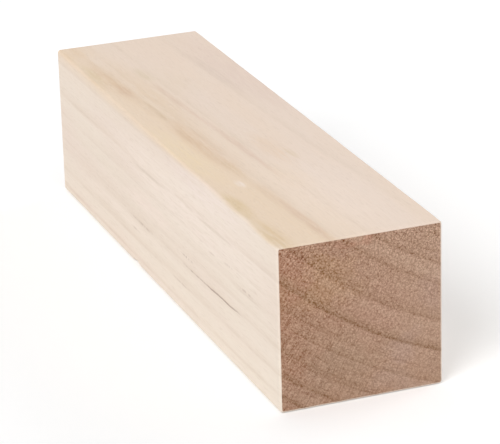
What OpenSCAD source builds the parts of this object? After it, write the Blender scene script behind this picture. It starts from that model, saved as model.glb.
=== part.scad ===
// Wood carving block: one square stick of pale basswood, planed on four sides and sawn at both ends.
// Frame: +Z up, the length and the grain run along Y, origin at the middle of the bottom face.

/* [Block] */
// Width of the block, across the grain
block_w = 25.4; // [12:0.1:60]
// Height of the block, across the grain
block_h = 25.4; // [12:0.1:60]
// Length of the block, along the grain
block_l = 101.6; // [60:0.1:300]

/* [Edges] */
// Radius that planing and handling leave on the four long edges
arris_r = 0.55; // [0.4:0.05:2]
// Width of the small bevel that sanding leaves round each end face
end_bevel = 0.28; // [0.1:0.02:0.38]

/* [Dent] */
// Length of the shallow dent in the lower left long edge
dent_l = 3.8; // [2:0.1:8]
// Depth of the dent, measured in from the rounded edge
dent_d = 0.3; // [0.1:0.05:0.5]
// Distance from the back end to the middle of the dent
dent_from_back = 38.5; // [8:0.5:50]

/* [Hidden] */
$fn = 96;
// How far a cutting shape runs past what it cuts
over = 1;
// The length is centred on the origin
front_y = -block_l / 2;
back_y = block_l / 2;
// The dent is a scallop: the arc of a circle that is dent_l wide where it meets the edge
dent_r = (dent_l * dent_l / 4 + dent_d * dent_d) / (2 * dent_d);
dent_y = back_y - dent_from_back;
// The outermost line of a rounded edge stands in this far from both of its faces
edge_in = arris_r * (1 - cos(45));

// The section of the stick, standing on the x axis, with a quarter round on each corner
module section_outline() {
    flat_w = block_w - 2 * arris_r;
    flat_h = block_h - 2 * arris_r;
    translate([-flat_w / 2, 0]) square([flat_w, block_h]);
    translate([-block_w / 2, arris_r]) square([block_w, flat_h]);
    for (x = [-flat_w / 2, flat_w / 2], y = [arris_r, block_h - arris_r])
        translate([x, y]) circle(r = arris_r);
}

// A rectangle standing on the x axis, with its four corners cut off at 45 degrees
module bevelled_outline(w, h) {
    half = w / 2;
    polygon([
        [-half, end_bevel], [-half + end_bevel, 0], [half - end_bevel, 0], [half, end_bevel],
        [half, h - end_bevel], [half - end_bevel, h], [-half + end_bevel, h], [-half, h - end_bevel],
    ]);
}

// The planed stick, with square ends
module planed_stick() {
    translate([0, back_y, 0]) rotate([90, 0, 0])
        linear_extrude(height = block_l) section_outline();
}

// The space left when the upper and lower edges of both ends are bevelled
module bevelled_side_view() {
    translate([-block_w / 2 - over, 0, 0]) rotate([90, 0, 90])
        linear_extrude(height = block_w + 2 * over) bevelled_outline(block_l, block_h);
}

// The space left when the left and right edges of both ends are bevelled
module bevelled_plan_view() {
    translate([0, front_y, -over])
        linear_extrude(height = block_h + 2 * over) bevelled_outline(block_w, block_l);
}

// The scallop, lying across the lower left edge and square to the way out from it
module edge_dent() {
    out = (dent_r - dent_d) * cos(45);
    translate([-block_w / 2 + edge_in - out, dent_y, edge_in - out]) rotate([0, 135, 0])
        cylinder(h = 4 * arris_r + 2 * over, r = dent_r, center = true);
}

module carving_block() {
    color("burlywood") difference() {
        intersection() {
            planed_stick();
            bevelled_side_view();
            bevelled_plan_view();
        }
        edge_dent();
    }
}

carving_block();
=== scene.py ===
import math
import bpy
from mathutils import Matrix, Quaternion, Vector


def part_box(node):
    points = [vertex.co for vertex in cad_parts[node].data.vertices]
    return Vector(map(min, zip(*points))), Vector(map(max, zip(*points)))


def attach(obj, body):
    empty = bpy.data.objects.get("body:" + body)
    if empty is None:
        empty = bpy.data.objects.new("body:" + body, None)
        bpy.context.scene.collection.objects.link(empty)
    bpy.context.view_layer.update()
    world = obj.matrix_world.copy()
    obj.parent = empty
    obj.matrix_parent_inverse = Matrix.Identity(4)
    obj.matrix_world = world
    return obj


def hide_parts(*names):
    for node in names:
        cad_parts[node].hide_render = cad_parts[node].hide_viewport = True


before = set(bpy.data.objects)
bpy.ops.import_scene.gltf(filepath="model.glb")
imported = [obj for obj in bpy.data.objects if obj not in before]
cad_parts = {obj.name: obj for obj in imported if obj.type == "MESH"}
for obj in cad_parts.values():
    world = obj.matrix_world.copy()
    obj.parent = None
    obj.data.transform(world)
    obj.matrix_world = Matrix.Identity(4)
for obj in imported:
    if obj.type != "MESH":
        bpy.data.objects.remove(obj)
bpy.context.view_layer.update()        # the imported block, which stays where it is
mm = 0.001
print("frame loaded:", ", ".join(sorted(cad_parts)))


def paint(red, green, blue):
    # a colour as a screen shows it, turned into the linear one that a shader takes
    def straight(value):
        value = value / 255
        return value / 12.92 if value <= 0.04045 else ((value + 0.055) / 1.055) ** 2.4
    return (straight(red), straight(green), straight(blue), 1.0)


class NodeDesk:
    # puts nodes in one tree and joins them as they are made; shape, finish and studio all use it
    def __init__(self, tree):
        self.tree = tree

    def put(self, kind, sockets=None, **settings):
        node = self.tree.nodes.new(kind)
        for name, value in settings.items():
            setattr(node, name, value)
        for name, value in (sockets or {}).items():
            if isinstance(value, bpy.types.NodeSocket):
                self.tree.links.new(value, node.inputs[name])
            else:
                node.inputs[name].default_value = value
        return node

    def calc(self, operation, *values, clamp=False):
        node = self.put("ShaderNodeMath", dict(enumerate(values)),
                        operation=operation, use_clamp=clamp)
        return node.outputs[0]

    def add(self, first, *others):
        for other in others:
            first = self.calc("ADD", first, other)
        return first

    def take(self, first, second):
        return self.calc("SUBTRACT", first, second)

    def times(self, first, *others):
        for other in others:
            first = self.calc("MULTIPLY", first, other)
        return first

    def vector(self, operation, *values):
        node = self.put("ShaderNodeVectorMath", dict(enumerate(values)), operation=operation)
        return node.outputs["Value" if operation in ("LENGTH", "DOT_PRODUCT") else "Vector"]

    def scaled(self, vector, factor):
        node = self.put("ShaderNodeVectorMath", {0: vector, "Scale": factor}, operation="SCALE")
        return node.outputs["Vector"]

    def join(self, x, y, z):
        return self.put("ShaderNodeCombineXYZ", {0: x, 1: y, 2: z}).outputs[0]

    def split(self, vector):
        return self.put("ShaderNodeSeparateXYZ", {0: vector}).outputs[:]

    def spread(self, value, low, high, toLow=0.0, toHigh=1.0, smooth=False):
        # turns a value between low and high into one between toLow and toHigh
        node = self.put("ShaderNodeMapRange", {0: value, 1: low, 2: high, 3: toLow, 4: toHigh},
                        interpolation_type="SMOOTHSTEP" if smooth else "LINEAR", clamp=True)
        return node.outputs[0]

    def stretched(self, place, size, seed):
        # size is how many millimetres one blot takes along each of the three ways
        scaledPlace = self.vector("MULTIPLY", place, tuple(1 / step for step in size))
        return self.vector("ADD", scaledPlace, (seed, seed * 1.7, seed * 0.6))

    def noise(self, place, size, seed=0.0, detail=2.0, roughness=0.5, colour=False):
        node = self.put("ShaderNodeTexNoise", {
            "Vector": self.stretched(place, size, seed), "Scale": 1.0, "Detail": detail,
            "Roughness": roughness}, noise_dimensions="3D")
        return node.outputs[1 if colour else 0]

    def grains(self, place, size, seed=0.0):
        # small cells, each with a chance value from 0 to 1
        node = self.put("ShaderNodeTexVoronoi", {
            "Vector": self.stretched(place, size, seed), "Scale": 1.0}, voronoi_dimensions="3D")
        return self.split(node.outputs["Color"])[0]

    def spots(self, one, two, spacing, looseness):
        # round spots over two ways: 1 in the middle of each and -1 between them
        node = self.put("ShaderNodeTexVoronoi", {
            "Vector": self.join(one, two, 0.0), "Scale": 1 / spacing, "Randomness": looseness},
            voronoi_dimensions="2D")
        return self.spread(node.outputs["Distance"], 0.1, 0.7, 1.0, -1.0)

    def ramp(self, value, stops):
        # stops are pairs: a place from 0 to 1, and the level there
        node = self.put("ShaderNodeValToRGB", {0: value})
        band = node.color_ramp
        places, levels = zip(*stops)
        band.elements[0].position, band.elements[1].position = places[0], places[-1]
        for place in places[1:-1]:
            band.elements.new(place)
        for element, level in zip(band.elements, levels):
            element.color = (level, level, level, 1.0)
        return node.outputs[0]

    def mix(self, share, first, second):
        node = self.put("ShaderNodeMix", {0: share, 6: first, 7: second}, data_type="RGBA")
        return node.outputs[2]


# a size of three is in mm: across, along and up, or outwards, along and around for what follows
# the growth rings; a share of two is the least and the most
block = {
    # the shape: one stick, with worn long edges, small bevels round the ends and a dent
    "arrisRadius": 0.50 * mm,      # rounding of the long edges
    "endBevel": 0.28 * mm,         # bevel that sanding left round each end
    "edgeZone": 0.7 * mm,          # strip along every edge that gets finer cells
    "edgeCells": 5,                # how many of them lie across it
    "cellsAcross": 76,             # cells of a whole face, across and along the grain
    "cellsAlong": 206,
    "wear": 0.22,                  # how unevenly the edges are rounded, as a share
    "cornerWear": 0.04 * mm,       # further rounding of the long edges near the ends
    "cornerZone": 4.0 * mm,        # how far from the ends that reaches
    "dentAlong": 12.3 * mm,        # where the dent in the lower left edge lies, from mid length
    "dentLength": 3.8 * mm,
    "dentDepth": 0.3 * mm,
    "dentTear": 0.22 * mm,         # how rough the torn wood in it is
    "tearSize": (0.5, 1.1, 0.5),
    "hollow": 0.035 * mm,          # how far the faces are out of flat
    "hollowSize": (16, 34, 16),
    "ringRelief": 0.03 * mm,       # how far sanding sank the soft early wood of the ends
    "fuzz": 0.022 * mm,            # roughness of the sawn fibres
    "fuzzSize": (0.7, 0.7, 0.7),
    "sideRelief": 0.008 * mm,      # how far the early wood of the planed faces is sunk
    "grainRelief": 0.012 * mm,     # and the lines of their grain
    "grainSize": (0.8, 18, 0.8),
    "seed": 4.0,                   # shifts where faces and fibres are uneven

    # the growth rings, round a pith that lies outside the block, up and to the right; lengths in mm
    "pithAcross": 37.8,            # where the middle of the tree stands at the front end
    "pithUp": 75.9,
    "lean": 6.8,                   # how much further out a ring lies at the back than in front
    "leanLoss": 0.062,             # how fast that fades with distance from the pith
    "bow": 0.4,                    # how far the rings swing out halfway along
    "wander": 0.4,                 # slow waves of the grain
    "wanderSize": (22, 60, 22),
    "ripple": 0.17,                # short ones
    "rippleSize": (2.8, 15, 2.8),
    "trueReach": 74.0,             # distance from the pith at which a length around it is true
    # each year's dark line: distance from the pith, strength to the upper left and to the lower
    # right, and width of the darker late wood on its inner side
    "years": (
        (56.9, 0.4, 0.35, 2.2), (60.8, 0.0, 0.4, 0.7), (62.3, 0.6, 0.4, 1.0),
        (65.3, 0.7, 0.3, 1.2), (70.6, 0.6, 0.5, 2.4), (75.0, 0.95, 1.0, 1.6),
        (77.8, 0.55, 0.1, 1.6), (79.8, 0.4, 0.5, 1.8), (81.6, 0.5, 0.15, 1.3),
        (83.1, 0.75, 0.25, 1.3), (83.6, 0.0, 1.2, 0.35), (86.3, 0.8, 0.7, 1.2),
        (88.9, 1.0, 0.9, 0.6),
    ),
    "ringReach": (50.0, 92.0),     # nearest and furthest ring that the block holds
    "leftAngle": 0.74,             # where the first strength holds, in radians from straight down
    "rightAngle": 0.34,            # and the second

    # the planed faces
    "inner": paint(240, 219, 201),          # nearer the pith
    "outer": paint(242, 229, 214),          # nearer the bark
    "turn": (60.0, 74.0),                   # where one gives way to the other, in mm from the pith
    "pink": paint(239, 221, 208),           # slow patches in both
    "pinkShare": (0.0, 0.8),
    "pinkSize": (7, 45, 9),
    "far": paint(222, 203, 188),            # painted shade: a little of this towards the back end
    "farShare": (0.0, 0.26),
    "farFrom": (-50, 50),                   # in mm along the block
    "late": paint(226, 207, 189),           # late wood of each year, paler in places
    "lateShare": (0.18, 0.55),
    "lateSize": (9, 26, 14),
    "line": paint(204, 183, 162),           # the thin line that ends it, nearly gone in places
    "lineShare": (0.04, 0.36),
    "lineSize": (3, 9, 3),
    "fibre": paint(226, 208, 190),
    "fibreShare": (0.02, 0.27),
    "fibreSize": (0.34, 12, 0.34),
    "vessel": paint(194, 171, 150),
    "vesselShare": (0.0, 0.21),
    "vesselSize": (0.13, 2.6, 0.13),
    "fleck": paint(248, 237, 225),
    "fleckShare": (0.0, 0.16),
    "fleckSize": (2.4, 0.8, 0.16),

    # mineral stain along the upper left edge
    "wash": paint(236, 211, 182),
    "washBase": (0.0, 0.45),                # its share on the inner side of the core
    "washMore": (0.0, 0.55),                # what is added past the core, towards the bark
    "washFade": (0.78, 0.62),               # how strong it is at the front and at the back
    "washRing": 71.0,                       # where it stops, in mm from the pith
    "washUnder": (24.4, 23.2),              # height in mm it reaches down to, front and back
    "core": paint(212, 180, 144),           # its brown middle line
    "coreShare": (0.12, 0.32),
    "coreRing": 65.8,                       # where that runs at the front end, in mm from the pith
    "coreShift": 1.5,                       # how far out it moves towards the back
    "feather": 1.6,                         # how much both stray from the rings, in mm

    # the crack in the left face, along one ring; lengths in mm
    "crackRing": 83.2,
    "crackWobble": 0.25,                    # how far it strays from that ring to each side
    "crackHalf": 0.11,                      # half its width
    "crackBlur": 0.08,                      # how soft its sides are
    "crackFront": (-37.0, -30.0),           # its tip, and where it has its full width
    "crackBack": (-10.0, -14.0),            # the same at its other end
    # towards the back it breaks up into dots and gets fainter: where that is complete, where it
    # starts, and the share that is left
    "crackDotted": (-19.0, -23.0, 0.4),
    "crackFaint": (-20.0, -24.5, 0.65),
    "crackTone": paint(136, 98, 78),
    "crackShare": 0.64,
    "dotSize": (9, 0.6, 9),                 # the dots, and the dashes below, are this short

    # rows of short dashes on the left face: mm from the pith, mm along the block, half length,
    # share
    "dashes": (
        (83.3, 8.0, 8.0, 0.34),
        (84.9, 11.5, 3.0, 0.24),
        (81.9, -12.8, 3.6, 0.50),
        (86.4, -9.0, 6.0, 0.29),
        (79.6, -38.0, 4.0, 0.36),
        (78.2, -31.0, 3.0, 0.24),
        (78.5, -24.0, 2.0, 0.26),
    ),
    "dashHalf": 0.22,                       # half the width of a row
    "dashTone": paint(166, 138, 118),

    # how far under its own face a mark reaches, in mm: the depth where it is gone, and where it
    # is still full
    "topRim": (0.8, 0.2),
    "leftRim": (0.7, 0.3),
    # single marks that lie along one ring: face, mm from the pith, mm along the block,
    # half width, half length, tone, share
    "marks": (
        ("top", 54.6, 24.0, 2.8, 34.0, paint(226, 202, 189), 0.50),
        ("top", 56.4, 28.0, 0.8, 18.0, paint(212, 190, 176), 0.32),
        ("top", 61.5, -34.0, 5.5, 26.0, paint(250, 231, 216), 0.36),
        ("top", 64.9, 20.0, 2.4, 28.0, paint(224, 196, 162), 0.34),
        ("top", 63.2, 18.0, 0.6, 11.0, paint(206, 172, 146), 0.38),
        ("top", 62.9, -10.0, 0.6, 20.0, paint(206, 168, 144), 0.34),
        ("top", 63.1, 6.0, 0.5, 9.0, paint(212, 174, 152), 0.26),
        ("top", 63.1, 31.0, 1.0, 5.5, paint(202, 184, 142), 0.34),
        ("top", 60.4, -12.0, 1.8, 11.0, paint(230, 196, 158), 0.30),
        ("top", 59.4, -15.0, 0.6, 3.4, paint(204, 182, 136), 0.26),
        ("top", 70.0, 47.0, 3.2, 10.0, paint(228, 196, 156), 0.40),
        ("top", 66.8, 48.0, 2.4, 7.0, paint(232, 204, 170), 0.34),
        ("top", 69.0, 32.0, 1.4, 10.0, paint(214, 182, 134), 0.20),
        ("top", 61.0, 26.0, 2.6, 10.0, paint(228, 206, 174), 0.22),
        ("top", 62.2, -24.0, 2.4, 9.0, paint(238, 214, 186), 0.26),
        ("top", 67.3, 30.0, 1.9, 15.0, paint(206, 168, 124), 0.32),
        ("top", 68.4, 35.0, 0.9, 8.0, paint(208, 190, 140), 0.30),
        ("top", 67.0, 24.0, 1.0, 5.0, paint(200, 160, 134), 0.24),
        ("top", 66.4, 12.0, 0.5, 7.0, paint(184, 154, 108), 0.32),
        ("top", 66.1, -6.0, 2.0, 20.0, paint(212, 172, 128), 0.34),
        ("top", 66.6, -1.0, 0.6, 7.0, paint(198, 160, 118), 0.22),
        ("top", 66.3, -18.0, 0.7, 6.0, paint(204, 172, 116), 0.22),
        ("top", 65.9, -31.0, 1.2, 10.0, paint(214, 182, 150), 0.26),
        ("top", 65.9, -43.0, 0.7, 13.0, paint(198, 148, 118), 0.26),
        ("top", 68.9, -9.0, 2.4, 20.0, paint(242, 220, 182), 0.50),
        ("top", 70.3, -33.0, 1.6, 8.0, paint(210, 182, 122), 0.50),
        ("top", 70.6, -46.0, 1.8, 10.0, paint(212, 180, 122), 0.50),
        ("top", 67.4, -24.5, 0.6, 2.2, paint(250, 236, 228), 0.60),
        ("left", 76.0, -20.0, 4.8, 40.0, paint(252, 236, 226), 0.50),
        ("left", 80.0, 4.0, 2.0, 16.0, paint(250, 230, 220), 0.36),
        ("left", 75.3, 4.5, 0.34, 11.0, paint(188, 166, 142), 0.54),
        ("left", 75.3, -25.0, 0.30, 10.0, paint(192, 170, 146), 0.42),
        ("left", 75.2, 33.0, 0.5, 13.0, paint(240, 224, 210), 0.40),
        ("left", 71.8, -24.0, 2.6, 28.0, paint(252, 236, 232), 0.34),
        ("left", 83.3, 9.0, 0.34, 9.0, paint(188, 164, 144), 0.18),
        ("left", 82.3, 22.0, 0.9, 34.0, paint(222, 204, 186), 0.34),
        ("left", 85.6, 25.0, 0.8, 16.0, paint(222, 204, 186), 0.30),
        ("left", 85.6, -10.0, 0.8, 22.0, paint(222, 204, 186), 0.30),
        ("left", 84.4, 20.0, 0.9, 30.0, paint(250, 236, 224), 0.24),
        ("left", 74.0, 6.0, 3.0, 26.0, paint(252, 238, 226), 0.36),
        ("left", 80.0, -39.0, 0.25, 8.0, paint(198, 178, 158), 0.34),
        ("end", 63.7, 0.0, 1.5, 500.0, paint(212, 180, 156), 0.28),
        ("end", 71.6, 0.0, 0.9, 500.0, paint(212, 180, 156), 0.14),
        ("end", 87.8, 0.0, 0.9, 500.0, paint(204, 172, 148), 0.20),
    ),

    # the sawn ends
    "sawn": paint(188, 153, 130),
    "sawnLeft": paint(176, 133, 107),       # towards the left edge
    "sawnLeftShare": (0.72, 0.0),           # at the left edge, and where it is gone
    "sawnLate": paint(160, 126, 98),
    "sawnLateShare": 0.62,
    "endReach": 0.12,                       # how fast patterns change along the block, as a share
    "speck": (0.45, 0.355, 0.28),           # a full tone adds this; the depths are shares of it
    "lineDepth": 0.185,                     # the yearly lines
    "lineUneven": (0.72, 1.24),
    "rayDepth": 0.17,                       # the rays, across the rings
    "rayLeft": 0.3,                         # share of them that is left towards the right
    "raySize": (2.6, 0.5, 0.17),
    "streakDepth": 0.05,                    # fine streaks along the rings
    "streakSize": (0.2, 0.5, 1.3),
    "poreDepth": 0.29,                      # the open pores
    "poreSize": (0.10, 0.3, 0.14),
    "tuftDepth": 0.155,                     # and the pale tufts of fibre between them
    "tuftSpacing": 0.42,                    # in mm
    "tuftLooseness": 0.9,                   # 0 is a regular grid
    # how coarse pores and tufts are, as factors
    "coarseAcross": (1.02, 0.88),           # left and right
    "coarseUp": (0.78, 1.26),               # bottom and top
    "coarseTop": (1.1, 1.6),                # once more along the top, left and right
    "coarseClouds": (0.8, 1.05),
    "darkest": (0.02, 0.012, 0.008),        # no pore is darker
    "cloudSize": (5, 5, 5),
    "patchDrift": 4.0,                      # mm by which clouds bend the patches
    # wide soft patches: mm across, mm up, half width, half height, tone, share
    "patches": (
        (-12.0, 20.0, 5.0, 9.0, paint(188, 120, 94), 0.15),
        (1.0, 25.4, 3.2, 2.0, paint(200, 124, 98), 0.24),
        (-6.0, 19.0, 6.0, 6.0, paint(188, 148, 106), 0.30),
        (3.0, 13.0, 9.0, 6.0, paint(194, 150, 132), 0.16),
        (5.5, 5.8, 4.0, 3.4, paint(188, 162, 154), 0.24),
        (11.5, 15.0, 4.0, 8.0, paint(188, 156, 146), 0.20),
        (-10.0, 3.5, 7.0, 6.0, paint(168, 140, 120), 0.22),
        (4.0, 1.0, 6.0, 3.0, paint(190, 162, 146), 0.36),
        (12.2, 3.0, 3.0, 5.0, paint(164, 132, 110), 0.24),
        (11.5, 23.5, 4.0, 4.0, paint(176, 144, 112), 0.16),
        (-3.5, 5.5, 9.0, 8.0, paint(178, 155, 131), 0.28),
    ),

    # how the surface feels
    "bumpDepth": 0.05 * mm,
    "bumpStrength": 0.8,
    "fibreBump": 0.25,                      # shares of the depth: fibres of the planed faces
    "poreBump": 0.3,                        # and pores of the ends
    "shine": 0.35,
    "bend": 1.45,                           # how strongly it bends light, for the shine
    "roughness": (0.5, 0.62),
    "sawnRoughness": 0.25,                  # what the ends have on top of that
}
lowCorner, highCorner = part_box("carving_block")
blockWidth, blockLength, blockHeight = highCorner - lowCorner
midHeight = (lowCorner.z + highCorner.z) / 2
leftEdge, topEdge = lowCorner.x / mm, highCorner.z / mm


def growWood(desk, place):
    # place is a position on the block in metres; everything below is in millimetres
    spot = desk.scaled(place, 1 / mm)
    slow = desk.noise(spot, block["wanderSize"], seed=3.1, detail=1.0, colour=True)
    quick = desk.noise(spot, block["rippleSize"], seed=8.4, detail=2.0, colour=True)
    drift = desk.scaled(desk.vector("SUBTRACT", slow, (0.5, 0.5, 0.5)), 2 * block["wander"])
    shake = desk.scaled(desk.vector("SUBTRACT", quick, (0.5, 0.5, 0.5)), 2 * block["ripple"])
    bent = desk.vector("ADD", spot, desk.vector("ADD", drift, shake))
    across, along, up = desk.split(bent)
    fromPithAcross = desk.take(across, block["pithAcross"])
    fromPithUp = desk.take(up, block["pithUp"])
    reach = desk.vector("LENGTH", desk.join(fromPithAcross, 0.0, fromPithUp))
    # 0 at the front end, 1 at the back
    share = desk.spread(along, lowCorner.y / mm, highCorner.y / mm)
    leanHere = desk.calc("MULTIPLY_ADD", reach, -block["leanLoss"], block["lean"])
    bowHere = desk.times(desk.calc("SINE", desk.times(share, math.pi)), block["bow"])
    ring = desk.take(desk.take(reach, desk.times(share, leanHere)), bowHere)
    angle = desk.calc("ARCTAN2", desk.times(fromPithAcross, -1.0), desk.times(fromPithUp, -1.0))
    around = desk.times(angle, block["trueReach"])
    polar = desk.join(ring, along, around)
    return {"spot": spot, "ring": ring, "share": share, "angle": angle, "polar": polar}


def yearLines(desk, grown, widest, after):
    # rises to each year's line through its late wood, in 'widest' mm at most, and drops in
    # 'after' mm
    first, last = block["ringReach"]
    place = desk.spread(grown["ring"], first, last)
    toRight = desk.spread(grown["angle"], block["leftAngle"], block["rightAngle"])
    shares = {1: desk.take(1.0, toRight), 2: toRight}
    mostStops = 32                 # of one colour ramp
    yearsEach = (mostStops - 1) // 3
    total = 0.0
    for start in range(0, len(block["years"]), yearsEach):
        for side in (1, 2):
            stops = [(0.0, 0.0)]
            for year in block["years"][start:start + yearsEach]:
                line, strength, before = year[0] - first, year[side], min(year[3], widest)
                stops.append(((line - before) / (last - first), 0.0))
                stops.append((line / (last - first), strength))
                stops.append(((line + after) / (last - first), 0.0))
            total = desk.add(total, desk.times(desk.ramp(place, stops), shares[side]))
    return total


def shapeTree(finish):
    tree = bpy.data.node_groups.new("blockShape", "GeometryNodeTree")
    tree.interface.new_socket("Block", in_out="OUTPUT", socket_type="NodeSocketGeometry")
    sizes = {
        "Width": blockWidth, "Length": blockLength, "Height": blockHeight,
        "Middle Height": midHeight,
        "Arris Radius": block["arrisRadius"], "End Bevel": block["endBevel"],
        "Edge Zone": block["edgeZone"], "Wear": block["wear"],
        "Corner Wear": block["cornerWear"], "Corner Zone": block["cornerZone"],
        "Dent Along": block["dentAlong"], "Dent Length": block["dentLength"],
        "Dent Depth": block["dentDepth"], "Dent Tear": block["dentTear"],
        "Hollow": block["hollow"], "Ring Relief": block["ringRelief"], "Fuzz": block["fuzz"],
        "Side Relief": block["sideRelief"], "Grain Relief": block["grainRelief"],
        "Seed": block["seed"],
    }
    counts = {"Cells Across": block["cellsAcross"], "Cells Along": block["cellsAlong"],
              "Edge Cells": block["edgeCells"]}
    inputs = {}
    for name, value in {**sizes, **counts}.items():
        kind = "NodeSocketInt" if name in counts else "NodeSocketFloat"
        socket = tree.interface.new_socket(name, in_out="INPUT", socket_type=kind)
        inputs[socket.identifier] = value
    desk = NodeDesk(tree)
    given = desk.put("NodeGroupInput").outputs

    halfWidth = desk.times(given["Width"], 0.5)
    halfLength = desk.times(given["Length"], 0.5)
    halfHeight = desk.times(given["Height"], 0.5)
    pointsAcross = desk.add(given["Cells Across"], 1)
    pointsAlong = desk.add(given["Cells Along"], 1)
    stick = desk.put("GeometryNodeMeshCube", {
        "Size": (2, 2, 2), "Vertices X": pointsAcross, "Vertices Y": pointsAlong,
        "Vertices Z": pointsAcross})

    # even cells from -1 to 1 become true places, with narrow cells along the edges
    unit = desk.split(desk.put("GeometryNodeInputPosition").outputs[0])

    def respace(value, half, cells):
        size = desk.calc("ABSOLUTE", value)
        turn = desk.take(1.0, desk.calc("DIVIDE", desk.times(given["Edge Cells"], 2.0), cells))
        inner = desk.spread(size, 0.0, turn, 0.0, desk.take(half, given["Edge Zone"]))
        outer = desk.spread(size, turn, 1.0, 0.0, given["Edge Zone"])
        return desk.times(desk.add(inner, outer), desk.calc("SIGN", value))

    x = respace(unit[0], halfWidth, given["Cells Across"])
    y = respace(unit[1], halfLength, given["Cells Along"])
    z = respace(unit[2], halfHeight, given["Cells Across"])
    sizeY = desk.calc("ABSOLUTE", y)

    # worn radius: uneven along each edge, and larger near the corners; the two numbers in
    # edgeSpot only give each of the four edges a noise of its own
    sideX, sideZ = desk.calc("SIGN", x), desk.calc("SIGN", z)
    edgeSpot = desk.join(desk.times(sideX, 7.3), desk.times(y, 1 / mm), desk.times(sideZ, 4.1))
    edgeNoise = desk.noise(edgeSpot, (1, 6, 1), seed=1.3, detail=3.0, roughness=0.6)
    uneven = desk.add(desk.times(desk.take(edgeNoise, 0.5), given["Wear"], 2.0), 1.0)
    fromEnd = desk.take(halfLength, sizeY)
    nearEnd = desk.spread(fromEnd, 0.0, given["Corner Zone"], 1.0, 0.0, smooth=True)
    cornerRadius = desk.times(nearEnd, given["Corner Wear"])
    radius = desk.add(desk.times(given["Arris Radius"], uneven), cornerRadius)
    bevel = desk.times(given["End Bevel"], uneven)

    # long edges: what lies past the middle of the rounding is drawn onto its arc
    coreX = desk.calc("MINIMUM", desk.calc("ABSOLUTE", x), desk.take(halfWidth, radius))
    coreZ = desk.calc("MINIMUM", desk.calc("ABSOLUTE", z), desk.take(halfHeight, radius))
    coreX, coreZ = desk.times(coreX, sideX), desk.times(coreZ, sideZ)
    outX, outZ = desk.take(x, coreX), desk.take(z, coreZ)
    out = desk.calc("MAXIMUM", desk.calc("ABSOLUTE", outX), desk.calc("ABSOLUTE", outZ))
    way = desk.vector("NORMALIZE", desk.join(outX, 0.0, outZ))

    # ends: the same with a bevel, a little rounded
    pastSide = desk.calc("MAXIMUM", 0.0, desk.take(out, desk.take(radius, bevel)))
    pastEnd = desk.calc("MAXIMUM", 0.0, desk.take(sizeY, desk.take(halfLength, bevel)))
    softness = 1.25                # 1 is a flat bevel, 2 a round one
    total = desk.add(desk.calc("POWER", pastSide, softness), desk.calc("POWER", pastEnd, softness))
    total = desk.calc("POWER", total, 1 / softness)
    lost = desk.take(1.0, desk.calc("DIVIDE", bevel, total))
    outNow = desk.take(out, desk.times(pastSide, lost))
    sizeNow = desk.take(sizeY, desk.times(pastEnd, lost))
    yNow = desk.times(sizeNow, desk.calc("SIGN", y))
    rounded = desk.vector("ADD", desk.join(coreX, yNow, coreZ), desk.scaled(way, outNow))

    # the dent: a scallop across the lower left edge
    outward = Vector((-1, 0, -1)).normalized()
    slant = math.cos(math.pi / 4)
    halfDent, dentDepth = desk.times(given["Dent Length"], 0.5), given["Dent Depth"]
    scallop = desk.add(desk.times(halfDent, halfDent), desk.times(dentDepth, dentDepth))
    scallop = desk.calc("DIVIDE", scallop, desk.times(dentDepth, 2.0))
    edgeIn = desk.times(given["Arris Radius"], 1 - slant)
    edgeOut = desk.times(desk.take(scallop, dentDepth), slant)
    fromEdge = desk.take(edgeIn, edgeOut)
    centreAcross, centreUp = desk.take(fromEdge, halfWidth), desk.take(fromEdge, halfHeight)
    centre = desk.join(centreAcross, given["Dent Along"], centreUp)
    away = desk.vector("SUBTRACT", rounded, centre)
    awayOut = desk.vector("DOT_PRODUCT", away, tuple(outward))
    awayAlong = desk.join(0.0, desk.split(away)[1], 0.0)
    flatAway = desk.vector("ADD", desk.scaled(desk.join(*outward), awayOut), awayAlong)
    torn = desk.noise(desk.scaled(rounded, 1 / mm), block["tearSize"], seed=6.2, detail=3.0)
    scallopHere = desk.add(desk.times(desk.take(torn, 0.5), given["Dent Tear"]), scallop)
    push = desk.calc("MAXIMUM", 0.0, desk.take(scallopHere, desk.vector("LENGTH", flatAway)))
    dented = desk.vector("ADD", rounded, desk.scaled(desk.vector("NORMALIZE", flatAway), push))
    placed = desk.vector("ADD", dented, desk.join(0.0, 0.0, given["Middle Height"]))
    shaped = desk.put("GeometryNodeSetPosition", {
        "Geometry": stick.outputs["Mesh"], "Position": placed})

    # remember which faces are end grain, for the finish
    normal = desk.put("GeometryNodeInputNormal").outputs[0]
    sideways = desk.calc("ABSOLUTE", desk.split(normal)[1])
    isEnd = desk.calc("GREATER_THAN", sideways, 0.9)
    marked = desk.put("GeometryNodeStoreNamedAttribute", {
        "Geometry": shaped.outputs[0], "Name": "endGrain", "Value": isEnd},
        data_type="FLOAT", domain="FACE")

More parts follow.
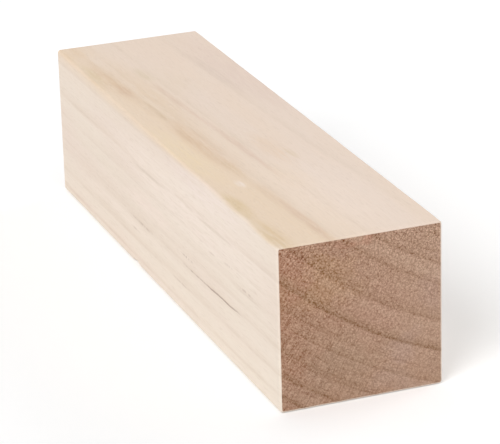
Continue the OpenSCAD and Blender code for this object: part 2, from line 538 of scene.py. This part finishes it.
    # relief, always inwards: faces out of flat, soft rings of the ends sunk, fibres torn by the saw
    grown = growWood(desk, desk.put("GeometryNodeInputPosition").outputs[0])
    early = desk.take(1.0, yearLines(desk, grown, widest=3.0, after=0.3))
    shift = desk.join(given["Seed"], given["Seed"], given["Seed"])
    moved = desk.vector("ADD", grown["spot"], shift)
    flatness = desk.noise(moved, block["hollowSize"], seed=2.0, detail=2.0)
    fibres = desk.noise(moved, block["fuzzSize"], seed=5.0, detail=2.0, roughness=0.7)
    grainLines = desk.noise(grown["polar"], block["grainSize"], seed=9.0, detail=2.0)
    endDepth = desk.add(desk.times(early, given["Ring Relief"]), desk.times(fibres, given["Fuzz"]))
    sideDepth = desk.add(desk.times(early, given["Side Relief"]),
                         desk.times(grainLines, given["Grain Relief"]))
    endShare = desk.spread(sideways, 0.75, 0.98)
    depth = desk.add(desk.times(flatness, given["Hollow"]), desk.times(endDepth, endShare),
                     desk.times(sideDepth, desk.take(1.0, endShare)))
    inward = desk.scaled(normal, desk.times(depth, -1.0))
    carved = desk.put("GeometryNodeSetPosition", {"Geometry": marked.outputs[0], "Offset": inward})
    smooth = desk.put("GeometryNodeSetShadeSmooth", {
        "Geometry": carved.outputs[0], "Shade Smooth": True})
    real = desk.put("GeometryNodeRealizeInstances", {"Geometry": smooth.outputs[0]})
    coated = desk.put("GeometryNodeSetMaterial", {"Geometry": real.outputs[0], "Material": finish})
    desk.put("NodeGroupOutput", {"Block": coated.outputs[0]})
    return tree, inputs


def softSpot(desk, offsetOne, halfOne, offsetTwo, halfTwo):
    # 1 in the middle of a long soft spot, 0 outside its half sizes
    one, two = desk.times(offsetOne, 1 / halfOne), desk.times(offsetTwo, 1 / halfTwo)
    return desk.spread(desk.vector("LENGTH", desk.join(one, two, 0.0)), 1.0, 0.2, smooth=True)


def drawMarks(desk, grown, colour, faces):
    # single marks, frayed along the fibres
    along = desk.split(grown["spot"])[1]
    fray = desk.noise(grown["polar"], (0.5, 5, 0.5), seed=17.0, detail=2.0)
    fray = desk.spread(fray, 0.3, 0.6, 0.35, 1.15)
    for face, markRing, at, halfWide, halfLong, tone, share in block["marks"]:
        if face in faces:
            fromRing, fromMiddle = desk.take(grown["ring"], markRing), desk.take(along, at)
            mark = softSpot(desk, fromRing, halfWide, fromMiddle, halfLong)
            frayed = desk.times(mark, faces[face], fray)
            colour = desk.mix(desk.calc("MULTIPLY", frayed, share, clamp=True), colour, tone)
    return colour


def sideColour(desk, grown, late, line):
    polar, ring = grown["polar"], grown["ring"]
    across, along, up = desk.split(grown["spot"])
    colour = desk.mix(desk.spread(ring, *block["turn"]), block["inner"], block["outer"])
    patches = desk.noise(polar, block["pinkSize"], seed=11.0, detail=2.0)
    pinkHere = desk.spread(patches, 0.38, 0.66, *block["pinkShare"])
    colour = desk.mix(pinkHere, colour, block["pink"])
    # painted shade: the planed faces darken a little towards the back end, in place of light that
    # weakens there
    farHere = desk.spread(along, *block["farFrom"], *block["farShare"])
    colour = desk.mix(farHere, colour, block["far"])
    fadeNoise = desk.noise(polar, block["lateSize"], seed=12.5, detail=1.0)
    fade = desk.spread(fadeNoise, 0.32, 0.62, *block["lateShare"])
    colour = desk.mix(desk.calc("MULTIPLY", late, fade, clamp=True), colour, block["late"])
    breakNoise = desk.noise(polar, block["lineSize"], seed=13.5, detail=2.0)
    breaks = desk.spread(breakNoise, 0.38, 0.6, *block["lineShare"])
    colour = desk.mix(desk.calc("MULTIPLY", line, breaks, clamp=True), colour, block["line"])

    # the stain: a wash on both sides of a brown core, stronger on the side of the bark; the
    # bare numbers are mm
    middle = desk.add(desk.times(grown["share"], block["coreShift"]), block["coreRing"])
    feather = desk.noise(polar, (1.2, 14, 3), seed=14.0, detail=3.0, roughness=0.65)
    stray = desk.times(desk.take(feather, 0.5), block["feather"])
    fromCore = desk.take(desk.add(stray, ring), middle)
    highUp = desk.spread(up, desk.spread(along, -20, 30, *block["washUnder"]), 25.35)
    washIn = desk.add(desk.spread(fromCore, -6.5, -2.0, *block["washBase"]),
                      desk.spread(fromCore, -0.8, 0.6, *block["washMore"]))
    washOut = desk.spread(desk.take(block["washRing"], ring), -0.3, 0.8)
    washShare = desk.spread(along, -20, 45, *block["washFade"])
    colour = desk.mix(desk.times(washIn, washOut, highUp, washShare), colour, block["wash"])
    coreLine = desk.spread(desk.calc("ABSOLUTE", fromCore), 0.1, 0.9, 1.0, 0.0, smooth=True)
    coreNoise = desk.noise(polar, (3, 11, 3), seed=15.0, detail=2.0)
    coreBreaks = desk.spread(coreNoise, 0.36, 0.6, *block["coreShare"])
    colour = desk.mix(desk.times(coreLine, coreBreaks, highUp), colour, block["core"])

    topGone, topFull = block["topRim"]
    leftGone, leftFull = block["leftRim"]
    faces = {"top": desk.spread(up, topEdge - topGone, topEdge - topFull),
             "left": desk.spread(across, leftEdge + leftFull, leftEdge + leftGone, 1.0, 0.0)}
    colour = drawMarks(desk, grown, colour, faces)

    # fibres, short open vessels and ray flecks
    fibres = desk.noise(polar, block["fibreSize"], seed=21.0, detail=3.0, roughness=0.6)
    fibreHere = desk.spread(fibres, 0.25, 0.75, *block["fibreShare"])
    colour = desk.mix(fibreHere, colour, block["fibre"])
    vessels = desk.noise(polar, block["vesselSize"], seed=24.0, detail=1.0)
    vesselHere = desk.spread(vessels, 0.58, 0.72, *block["vesselShare"])
    colour = desk.mix(vesselHere, colour, block["vessel"])
    flecks = desk.noise(polar, block["fleckSize"], seed=27.0, detail=1.0)
    fleckHere = desk.spread(flecks, 0.58, 0.75, *block["fleckShare"])
    return desk.mix(fleckHere, colour, block["fleck"])


def endColour(desk, grown, late, line, pores):
    # places across and up are in mm, as everywhere in the finish
    flatPolar = desk.vector("MULTIPLY", grown["polar"], (1.0, block["endReach"], 1.0))
    across, _, up = desk.split(grown["spot"])
    fromLeft = desk.spread(across, -13, 9, *block["sawnLeftShare"])
    colour = desk.mix(fromLeft, block["sawn"], block["sawnLeft"])
    cloud = desk.noise(flatPolar, block["cloudSize"], seed=31.0, detail=2.0, colour=True)
    cloudAcross, cloudUp, cloudShare = desk.split(cloud)
    drift = block["patchDrift"]
    acrossNow = desk.add(across, desk.spread(cloudAcross, 0.2, 0.8, -drift, drift))
    upNow = desk.add(up, desk.spread(cloudUp, 0.2, 0.8, -drift, drift))
    for atAcross, atUp, halfWide, halfHigh, tone, share in block["patches"]:
        fromAcross, fromUp = desk.take(acrossNow, atAcross), desk.take(upNow, atUp)
        patch = softSpot(desk, fromAcross, halfWide, fromUp, halfHigh)
        colour = desk.mix(desk.times(patch, share), colour, tone)
    colour = drawMarks(desk, grown, colour, {"end": 1.0})
    lateShare = desk.calc("MULTIPLY", late, block["sawnLateShare"], clamp=True)
    colour = desk.mix(lateShare, colour, block["sawnLate"])

    # paler and darker tones on top: rays, streaks, pores and tufts, less the yearly lines
    rays = desk.noise(flatPolar, block["raySize"], seed=36.0, detail=1.0)
    leastDepth = block["rayDepth"] * block["rayLeft"]
    rayDepth = desk.spread(across, -13, 4, block["rayDepth"], leastDepth)
    rayTone = desk.times(desk.spread(rays, 0.3, 0.7, -1.0, 1.0), rayDepth)
    streaks = desk.noise(flatPolar, block["streakSize"], seed=38.0, detail=1.0)
    streakTone = desk.spread(streaks, 0.3, 0.7, -block["streakDepth"], block["streakDepth"])
    coarse = desk.times(desk.spread(across, -13, 13, *block["coarseAcross"]),
                        desk.spread(up, 0, 25, *block["coarseUp"]))
    topCoarse = desk.spread(across, -13, 13, *block["coarseTop"])
    nearTop = desk.spread(up, 18, 25, 1.0, topCoarse)
    cloudy = desk.spread(cloudShare, 0.35, 0.62, *block["coarseClouds"])
    outwards, _, around = desk.split(grown["polar"])
    tufts = desk.spots(outwards, around, block["tuftSpacing"], block["tuftLooseness"])
    fine = desk.add(desk.times(pores, block["poreDepth"]), desk.times(tufts, block["tuftDepth"]))
    fineTone = desk.times(fine, coarse, nearTop, cloudy)
    lineNoise = desk.noise(flatPolar, (1.5, 4, 6), seed=39.0, detail=1.0)
    lineNow = desk.spread(lineNoise, 0.35, 0.65, *block["lineUneven"])
    lineTone = desk.times(line, lineNow, block["lineDepth"])
    tone = desk.take(desk.add(rayTone, streakTone, fineTone), lineTone)
    lit = desk.vector("ADD", colour, desk.scaled(block["speck"], tone))
    return desk.vector("MAXIMUM", lit, block["darkest"])


def drawCrack(desk, grown, colour, onLeft):
    # the crack and the rows of dashes; also gives how open the crack is, for the bump
    spot, ring = grown["spot"], grown["ring"]
    along = desk.split(spot)[1]
    wobble = desk.noise(spot, (3, 4, 3), seed=51.0, detail=2.0)
    stray = desk.times(desk.take(wobble, 0.5), 2 * block["crackWobble"])
    fromCrack = desk.calc("ABSOLUTE", desk.take(ring, desk.add(stray, block["crackRing"])))
    ends = desk.times(desk.spread(along, *block["crackFront"]),
                      desk.spread(along, *block["crackBack"]))
    half = desk.times(desk.calc("SQRT", ends), block["crackHalf"])
    blur = block["crackBlur"]
    inside = desk.spread(desk.take(fromCrack, half), -blur, blur, 1.0, 0.0)
    dots = desk.spread(desk.noise(spot, block["dotSize"], seed=53.0, detail=1.0), 0.38, 0.54)
    dotted = desk.calc("MAXIMUM", dots, desk.spread(along, *block["crackDotted"]))
    faint = desk.spread(along, *block["crackFaint"])
    crack = desk.times(inside, desk.spread(ends, 0.0, 0.6), dotted, faint, onLeft)
    colour = desk.mix(desk.times(crack, block["crackShare"]), colour, block["crackTone"])
    for markRing, at, halfLong, share in block["dashes"]:
        fromRing, fromMiddle = desk.take(ring, markRing), desk.take(along, at)
        row = softSpot(desk, fromRing, block["dashHalf"], fromMiddle, halfLong)
        colour = desk.mix(desk.times(row, dots, onLeft, share), colour, block["dashTone"])
    return colour, crack


def basswoodFinish():
    finish = bpy.data.materials.new("bareBasswood")
    finish.use_nodes = True
    tree = finish.node_tree
    tree.nodes.clear()
    desk = NodeDesk(tree)
    place = desk.put("ShaderNodeTexCoord").outputs["Object"]
    isEnd = desk.put("ShaderNodeAttribute", attribute_name="endGrain").outputs["Fac"]
    isSide = desk.take(1.0, isEnd)
    grown = growWood(desk, place)
    late = yearLines(desk, grown, widest=3.0, after=0.2)
    line = yearLines(desk, grown, widest=0.5, after=0.25)
    polar = grown["polar"]
    pores = desk.spread(desk.grains(polar, block["poreSize"], seed=41.0), 0.0, 1.0, -1.0, 1.0)
    planed = sideColour(desk, grown, late, line)
    colour = desk.mix(isEnd, planed, endColour(desk, grown, late, line, pores))

    across = desk.split(grown["spot"])[0]
    underLeft = desk.calc("LESS_THAN", across, leftEdge + block["leftRim"][0])
    onLeft = desk.times(underLeft, isSide)
    colour, crack = drawCrack(desk, grown, colour, onLeft)

    # height for the bump, in shares of the bump's distance
    fibreHeight = desk.noise(polar, (0.22, 7, 0.22), seed=61.0, detail=3.0, roughness=0.6)
    sideHeight = desk.take(desk.times(fibreHeight, block["fibreBump"]), crack)
    endHeight = desk.times(pores, block["poreBump"], isEnd)
    height = desk.add(desk.times(sideHeight, isSide), endHeight)
    bump = desk.put("ShaderNodeBump", {
        "Strength": block["bumpStrength"], "Distance": block["bumpDepth"], "Height": height})
    gloss = desk.noise(polar, (0.6, 10, 0.6), seed=64.0, detail=2.0)
    roughness = desk.add(desk.times(isEnd, block["sawnRoughness"]),
                         desk.spread(gloss, 0.3, 0.7, *block["roughness"]))
    skin = desk.put("ShaderNodeBsdfPrincipled", {
        "Base Color": colour, "Roughness": roughness, "Normal": bump.outputs[0],
        "IOR": block["bend"], "Specular IOR Level": block["shine"]})
    desk.put("ShaderNodeOutputMaterial", {"Surface": skin.outputs[0]})
    return finish


def buildBlock():
    finish = basswoodFinish()
    tree, inputs = shapeTree(finish)
    blank = bpy.data.objects.new("blank", bpy.data.meshes.new("blank"))
    bpy.context.scene.collection.objects.link(blank)
    shaper = blank.modifiers.new("shape", "NODES")
    shaper.node_group = tree
    for identifier, value in inputs.items():
        shaper[identifier] = value
    bpy.context.view_layer.update()
    evaluated = blank.evaluated_get(bpy.context.evaluated_depsgraph_get())
    mesh = bpy.data.meshes.new_from_object(evaluated)
    blank.modifiers.remove(shaper)
    bpy.data.objects.remove(blank)
    mesh.name = "basswoodStick"
    mesh.materials.pop(index=0)        # the empty slot that comes with a node-made box
    piece = bpy.data.objects.new("basswoodStick", mesh)
    bpy.context.scene.collection.objects.link(piece)
    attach(piece, "root")
    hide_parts("carving_block")
    print("block made:", len(mesh.polygons), "faces, finish", mesh.materials[0].name)


studio = {
    "floor": (0.84, 0.84, 0.84, 1.0),
    "floorSeen": (0.98, 0.98, 0.98, 1.0),   # the same floor as the camera sees it
    "floorGlow": 0.13,
    "floorReach": 6.0,                      # half its width in metres
    "floorGap": 0.05 * mm,                  # it lies this far under the block
    "room": 0.50,                           # soft light from everywhere
    # soft lamps far away: strength, and the way each one shines from (right, back, up)
    "lamps": {"key": (1.72, (-0.62, -0.45, 0.62)), "fill": (0.78, (0.85, 0.25, 0.38))},
    "lampSpread": 34,                       # degrees, for soft shadows
}


def straightOrMirrored(desk):
    # 1 for what the camera sees, straight, in gloss or through glass; 0 for light on the object
    path = desk.put("ShaderNodeLightPath").outputs
    gloss = desk.calc("MAXIMUM", path["Is Glossy Ray"], path["Is Transmission Ray"])
    return desk.calc("MAXIMUM", path["Is Camera Ray"], gloss)


def buildStudio():
    world = bpy.data.worlds.new("studio")
    bpy.context.scene.world = world
    world.use_nodes = True
    world.node_tree.nodes.clear()
    desk = NodeDesk(world.node_tree)
    strength = desk.spread(straightOrMirrored(desk), 0.0, 1.0, studio["room"], 1.0)
    sky = desk.put("ShaderNodeBackground", {"Color": (1, 1, 1, 1), "Strength": strength})
    desk.put("ShaderNodeOutputWorld", {"Surface": sky.outputs[0]})

    for name, (strength, source) in studio["lamps"].items():
        lamp = bpy.data.lights.new(name, "SUN")
        lamp.energy = strength
        lamp.angle = math.radians(studio["lampSpread"])
        holder = bpy.data.objects.new(name, lamp)
        holder.rotation_euler = Vector(source).to_track_quat("Z", "Y").to_euler()
        bpy.context.scene.collection.objects.link(holder)

    reach = studio["floorReach"]
    corners = [(-reach, -reach, 0), (reach, -reach, 0), (reach, reach, 0), (-reach, reach, 0)]
    mesh = bpy.data.meshes.new("floor")
    mesh.from_pydata(corners, [], [(0, 1, 2, 3)])
    floor = bpy.data.objects.new("floor", mesh)
    floor.location.z = lowCorner.z - studio["floorGap"]
    bpy.context.scene.collection.objects.link(floor)
    paper = bpy.data.materials.new("paper")
    paper.use_nodes = True
    paper.node_tree.nodes.clear()
    desk = NodeDesk(paper.node_tree)
    seen = straightOrMirrored(desk)
    colour = desk.mix(seen, studio["floor"], studio["floorSeen"])
    shade = desk.put("ShaderNodeBsdfDiffuse", {"Color": colour})
    glow = desk.put("ShaderNodeEmission", {
        "Color": (1, 1, 1, 1), "Strength": desk.times(seen, studio["floorGlow"])})
    both = desk.put("ShaderNodeAddShader", {0: shade.outputs[0], 1: glow.outputs[0]})
    desk.put("ShaderNodeOutputMaterial", {"Surface": both.outputs[0]})
    mesh.materials.append(paper)
    print("studio made")


# the camera stands to the left of the front end and looks down on it
lens = {
    "stand": (-142.2 * mm, -385.8 * mm, 167.9 * mm),
    "aim": (2.6 * mm, 0.1 * mm, 9.0 * mm),
    "length": 200.0,                        # of the lens and the sensor, in mm as on a real one
    "sensor": 36.0,
    "clip": (0.01, 50.0),                   # nearest and furthest that it sees, in metres
    "roll": -1.67,                          # degrees; it leans over to its right
}


def placeCamera():
    camera = bpy.data.cameras.new("camera")
    camera.lens = lens["length"]
    camera.sensor_width = lens["sensor"]
    camera.clip_start, camera.clip_end = lens["clip"]
    holder = bpy.data.objects.new("camera", camera)
    holder.location = lens["stand"]
    toAim = Vector(lens["aim"]) - Vector(lens["stand"])
    level = toAim.to_track_quat("-Z", "Y")
    leaning = level @ Quaternion((0, 0, 1), math.radians(lens["roll"]))
    holder.rotation_euler = leaning.to_euler()
    bpy.context.scene.collection.objects.link(holder)
    bpy.context.scene.camera = holder
    print("camera placed")


placeCamera()
buildBlock()
buildStudio()
bpy.context.scene.view_settings.view_transform = "Standard"
print("all made")
